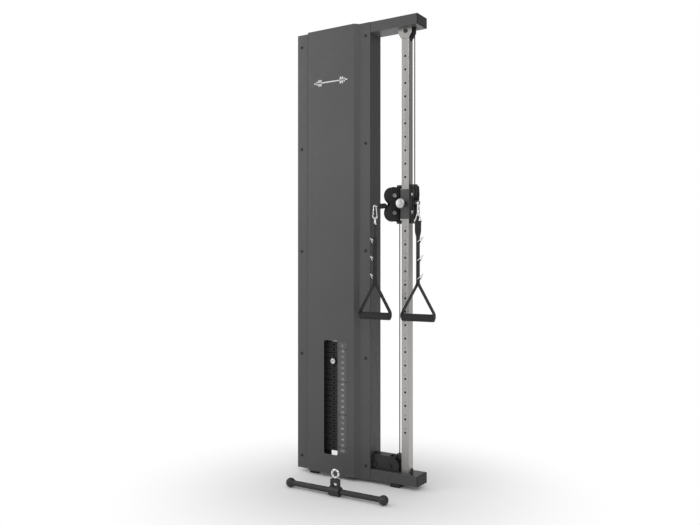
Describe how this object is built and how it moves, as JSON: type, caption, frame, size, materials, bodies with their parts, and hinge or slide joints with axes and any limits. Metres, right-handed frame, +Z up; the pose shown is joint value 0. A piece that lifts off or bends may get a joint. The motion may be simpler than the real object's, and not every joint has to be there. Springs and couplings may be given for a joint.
{
  "type": "cable crossover machine",
  "caption": "Slim cable crossover column: weight-stack tower, drilled column with a sliding carriage, two swivelling pulley blocks with strap handles, and a loose pull bar.",
  "frame": {"origin": "on the floor, under the middle of the whole object's box", "axes": "+X to the right of a user who faces the machine, -Y out of its front, +Z up"},
  "size_m": [0.8, 0.374, 2.22],
  "materials": {
    "grey_steel": "satin powder coat",
    "black_steel": "satin black",
    "bright_steel": "brushed plating",
    "plain_steel": "zinc plated",
    "cast_plates": "black paint",
    "black_plastic": "fine texture",
    "black_rubber": "matt",
    "cable_jacket": "nylon coated wire rope",
    "webbing": "woven nylon",
    "strip_grey": "printed label plate",
    "pin_plate": "bright"
  },
  "bodies": {
    "frame": {"base_beam": "grey_steel", "top_beam": "grey_steel", "tower_uprights": "grey_steel", "end_caps": "black_plastic", "front_cover": "grey_steel", "cover_screws": "black_steel", "number_strip": "strip_grey", "column": "bright_steel", "guide_rods": "bright_steel", "rubber_feet_and_stops": "black_rubber", "lower_weight_plates": "cast_plates", "pulley_housing": "black_steel", "crown_bracket": "black_steel", "pulley_axles": "black_steel", "fixed_cable": "cable_jacket", "stack_cables": "cable_jacket", "column_cable_left": "cable_jacket", "column_cable_right": "cable_jacket"},
    "bottom_pulley": {"bottom_pulley": "black_plastic"},
    "base_pulley": {"base_pulley": "black_plastic"},
    "crown_pulley_right": {"crown_pulley_right": "black_plastic"},
    "crown_pulley_middle": {"crown_pulley_middle": "black_plastic"},
    "crown_pulley_left": {"crown_pulley_left": "black_plastic"},
    "head_pulley": {"head_pulley": "black_plastic"},
    "lifted_stack": {"lifted_weight_plates": "cast_plates", "selector_rod": "bright_steel", "stack_pulley_bracket": "plain_steel", "stack_cable_loop": "cable_jacket"},
    "stack_pulley": {"stack_pulley": "black_plastic"},
    "selector_pin": {"selector_pin": "pin_plate"},
    "carriage": {"carriage_sleeve": "grey_steel", "sleeve_liners": "black_plastic"},
    "lock_pin": {"lock_pin": "pin_plate"},
    "left_block": {"left_block_frame": "black_steel", "left_block_axles": "plain_steel", "left_block_cable": "cable_jacket"},
    "left_upper_pulley": {"left_upper_pulley": "black_plastic"},
    "left_lower_pulley": {"left_lower_pulley": "black_plastic"},
    "left_cable_end": {"left_cable_end": "black_rubber"},
    "left_handle": {"left_snap_hook": "pin_plate", "left_strap_rings": "pin_plate", "left_strap": "webbing", "left_grip_core": "black_rubber"},
    "left_hook_gate": {"left_hook_gate": "pin_plate"},
    "left_grip": {"left_grip": "black_rubber"},
    "right_block": {"right_block_frame": "black_steel", "right_block_axles": "plain_steel", "right_block_cable": "cable_jacket"},
    "right_upper_pulley": {"right_upper_pulley": "black_plastic"},
    "right_lower_pulley": {"right_lower_pulley": "black_plastic"},
    "right_cable_end": {"right_cable_end": "black_rubber"},
    "right_handle": {"right_snap_hook": "pin_plate", "right_strap_rings": "pin_plate", "right_strap": "webbing", "right_grip_core": "black_rubber"},
    "right_hook_gate": {"right_hook_gate": "pin_plate"},
    "right_grip": {"right_grip": "black_rubber"},
    "floor_bar": {"pull_bar": "black_steel"},
    "bar_hanger": {"bar_hanger": "black_steel"},
    "bar_eye": {"bar_eye": "pin_plate"}
  },
  "joints": [
    {"name": "carriage_slide", "type": "slide", "parent": "frame", "child": "carriage", "axis": [0, 0, 1], "range_m": [-0.762, 0.635], "deforming": ["column_cable_right", "column_cable_left"]},
    {"name": "lock_pin_pull", "type": "slide", "parent": "carriage", "child": "lock_pin", "axis": [0, 1, 0], "range_m": [-0.012, 0.01], "stiffness_N_per_m": 400},
    {"name": "stack_lift", "type": "slide", "parent": "frame", "child": "lifted_stack", "axis": [0, 0, 1], "range_m": [0, 1.2], "deforming": ["stack_cables"]},
    {"name": "selector_pin_pull", "type": "slide", "parent": "lifted_stack", "child": "selector_pin", "axis": [0, 1, 0], "range_m": [-0.1, 0]},
    {"name": "bottom_pulley_spin", "type": "hinge", "parent": "frame", "child": "bottom_pulley", "pos_m": [0.127, 0.137, 0.092], "axis": [0, 1, 0], "range_deg": [-1860, 0]},
    {"name": "base_pulley_spin", "type": "hinge", "parent": "frame", "child": "base_pulley", "pos_m": [0.045, 0.137, 0.092], "axis": [0, 1, 0], "range_deg": [-1860, 0]},
    {"name": "crown_pulley_right_spin", "type": "hinge", "parent": "frame", "child": "crown_pulley_right", "pos_m": [-0.029, 0.137, 2.138], "axis": [0, 1, 0], "range_deg": [0, 1860]},
    {"name": "crown_pulley_middle_spin", "type": "hinge", "parent": "frame", "child": "crown_pulley_middle", "pos_m": [-0.111, 0.137, 2.138], "axis": [0, 1, 0], "range_deg": [0, 1860]},
    {"name": "crown_pulley_left_spin", "type": "hinge", "parent": "frame", "child": "crown_pulley_left", "pos_m": [-0.185, 0.137, 2.1725], "axis": [0, 1, 0], "range_deg": [0, 1860]},
    {"name": "head_pulley_spin", "type": "hinge", "parent": "frame", "child": "head_pulley", "pos_m": [0.207, 0.137, 2.155], "axis": [0, 1, 0], "range_deg": [0, 1860]},
    {"name": "stack_pulley_spin", "type": "hinge", "parent": "lifted_stack", "child": "stack_pulley", "pos_m": [-0.185, 0.137, 0.735], "axis": [0, 1, 0], "continuous": true},
    {"name": "left_block_swivel", "type": "hinge", "parent": "carriage", "child": "left_block", "pos_m": [0.164, 0.137, 1.339], "axis": [0, 0, 1], "range_deg": [-10, 20]},
    {"name": "left_upper_pulley_spin", "type": "hinge", "parent": "left_block", "child": "left_upper_pulley", "pos_m": [0.14331, 0.10633, 1.38], "axis": [0.829, -0.5592, 0], "continuous": true},
    {"name": "left_lower_pulley_spin", "type": "hinge", "parent": "left_block", "child": "left_lower_pulley", "pos_m": [0.14331, 0.10633, 1.298], "axis": [0.829, -0.5592, 0], "range_deg": [0, 1860]},
    {"name": "left_handle_pull", "type": "slide", "parent": "left_block", "child": "left_cable_end", "axis": [-0.5561, -0.8245, -0.1045], "range_m": [0, 1.2]},
    {"name": "left_handle_swing", "type": "hinge", "parent": "left_cable_end", "child": "left_handle", "pos_m": [0.09091, 0.02865, 1.32536], "axis": [0.829, -0.5592, 0], "range_deg": [-30, 4]},
    {"name": "left_gate_press", "type": "hinge", "parent": "left_handle", "child": "left_hook_gate", "pos_m": [0.08512, 0.02005, 1.28787], "axis": [-0.829, 0.5592, 0], "range_deg": [0, 14], "stiffness_Nm_per_rad": 0.02},
    {"name": "left_grip_roll", "type": "hinge", "parent": "left_handle", "child": "left_grip", "pos_m": [0.09091, 0.02865, 0.812], "axis": [1, 0, 0], "continuous": true},
    {"name": "right_block_swivel", "type": "hinge", "parent": "carriage", "child": "right_block", "pos_m": [0.244, 0.137, 1.339], "axis": [0, 0, 1], "range_deg": [-20, 50]},
    {"name": "right_upper_pulley_spin", "type": "hinge", "parent": "right_block", "child": "right_upper_pulley", "pos_m": [0.26469, 0.10633, 1.38], "axis": [0.829, 0.5592, 0], "range_deg": [-1860, 0]},
    {"name": "right_lower_pulley_spin", "type": "hinge", "parent": "right_block", "child": "right_lower_pulley", "pos_m": [0.26469, 0.10633, 1.298], "axis": [0.829, 0.5592, 0], "continuous": true},
    {"name": "right_handle_pull", "type": "slide", "parent": "right_block", "child": "right_cable_end", "axis": [0.5561, -0.8245, -0.1045], "range_m": [0, 1.2]},
    {"name": "right_handle_swing", "type": "hinge", "parent": "right_cable_end", "child": "right_handle", "pos_m": [0.31709, 0.02865, 1.33295], "axis": [0.829, 0.5592, 0], "range_deg": [-30, 4]},
    {"name": "right_gate_press", "type": "hinge", "parent": "right_handle", "child": "right_hook_gate", "pos_m": [0.32288, 0.02005, 1.29546], "axis": [-0.829, -0.5592, 0], "range_deg": [0, 14], "stiffness_Nm_per_rad": 0.02},
    {"name": "right_grip_roll", "type": "hinge", "parent": "right_handle", "child": "right_grip", "pos_m": [0.31709, 0.02865, 0.812], "axis": [1, 0, 0], "continuous": true},
    {"name": "floor_bar_lift", "type": "slide", "parent": "frame", "child": "floor_bar", "axis": [0, 0, 1], "range_m": [0, 0.3]},
    {"name": "bar_hanger_tilt", "type": "hinge", "parent": "floor_bar", "child": "bar_hanger", "pos_m": [-0.005, -0.1645, 0.0225], "axis": [1, 0, 0], "range_deg": [-80, 80]},
    {"name": "bar_eye_swivel", "type": "hinge", "parent": "bar_hanger", "child": "bar_eye", "pos_m": [-0.005, -0.1645, 0.102], "axis": [0, 0, 1], "continuous": true}
  ],
  "couplings": [
    {"joint": "bottom_pulley_spin", "follows": "stack_lift", "rad_per_m": -27.027},
    {"joint": "base_pulley_spin", "follows": "stack_lift", "rad_per_m": -27.027},
    {"joint": "crown_pulley_right_spin", "follows": "stack_lift", "rad_per_m": 27.027},
    {"joint": "crown_pulley_middle_spin", "follows": "stack_lift", "rad_per_m": 27.027},
    {"joint": "crown_pulley_left_spin", "follows": "stack_lift", "rad_per_m": 27.027},
    {"joint": "head_pulley_spin", "follows": "stack_lift", "rad_per_m": 27.027},
    {"joint": "left_lower_pulley_spin", "follows": "stack_lift", "rad_per_m": 27.027},
    {"joint": "left_handle_pull", "follows": "stack_lift", "ratio": 1},
    {"joint": "right_upper_pulley_spin", "follows": "stack_lift", "rad_per_m": -27.027},
    {"joint": "right_handle_pull", "follows": "stack_lift", "ratio": 1}
  ]
}
